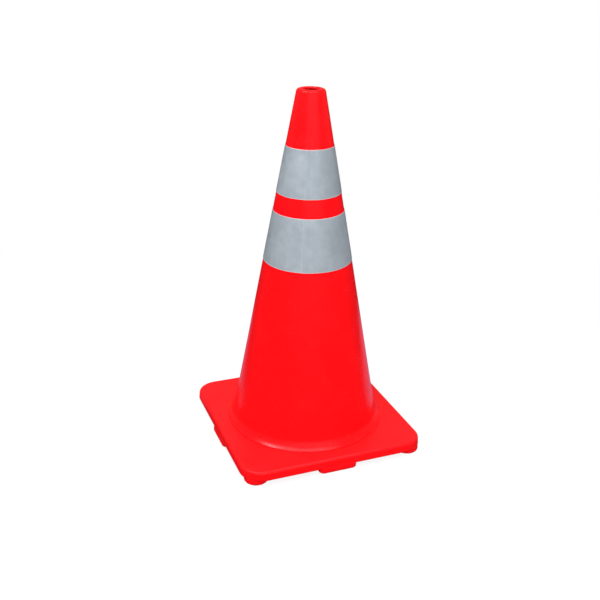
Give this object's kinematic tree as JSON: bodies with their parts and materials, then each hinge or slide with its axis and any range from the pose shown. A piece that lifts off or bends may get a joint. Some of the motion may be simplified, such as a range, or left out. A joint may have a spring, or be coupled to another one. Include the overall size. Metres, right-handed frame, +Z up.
{
  "type": "traffic cone",
  "caption": "Hollow tapered cone with a round hole at its tip, standing on a thick square base with moulded feet, with reflective sleeves round its upper half.",
  "frame": {"origin": "on the ground, under the axis of the cone and the middle of the square base", "axes": "+Z up along the axis of the cone; -Y, +X, +Y and -X face the four sides of the base, -Y being the front"},
  "size_m": [0.385, 0.385, 0.711],
  "materials": {
    "pvc_body": "semi-gloss flexible PVC, red, smooth moulded",
    "pvc_base": "satin PVC, red, fine moulded texture",
    "reflective_sheeting": "silver-grey glass-bead reflective sheeting, satin"
  },
  "bodies": {
    "cone": {"base": "pvc_base", "cone_body": "pvc_body"},
    "upper_collar": {"upper_collar": "reflective_sheeting"},
    "lower_collar": {"lower_collar": "reflective_sheeting"}
  },
  "joints": [
    {"name": "upper_collar_slide", "type": "slide", "parent": "cone", "child": "upper_collar", "axis": [0, 0, 1], "range_m": [0, 0.2]},
    {"name": "lower_collar_slide", "type": "slide", "parent": "cone", "child": "lower_collar", "axis": [0, 0, 1], "range_m": [0, 0.34]}
  ]
}
